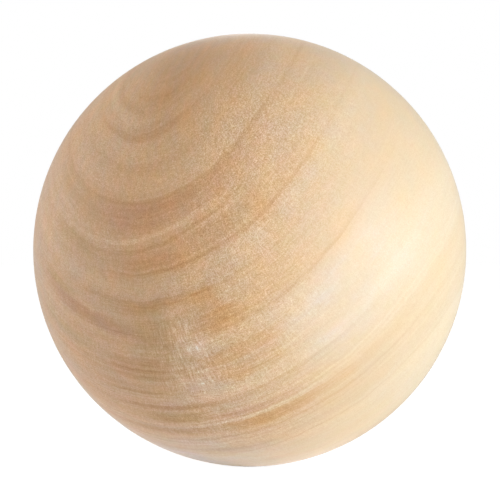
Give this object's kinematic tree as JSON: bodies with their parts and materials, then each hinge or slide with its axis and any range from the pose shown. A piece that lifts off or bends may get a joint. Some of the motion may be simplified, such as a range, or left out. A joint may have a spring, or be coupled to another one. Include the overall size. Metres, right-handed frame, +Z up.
{
  "type": "wooden ball",
  "caption": "Plain round ball turned in one piece from pale close-grained hardwood, unfinished, for craft, display, bench and desk use.",
  "frame": {"origin": "centre of the ball", "axes": "+Z up, along the axis that the ball was turned about and away from the point it rests on; -Y faces the viewer of the picture and +X is to that viewer's right"},
  "size_m": [0.04, 0.04, 0.04],
  "materials": {
    "wood": "bare sanded pale hardwood, matt, with soft tan growth rings and fine ray and pore fleck"
  },
  "bodies": {
    "root": {"ball": "wood"}
  },
  "joints": []
}
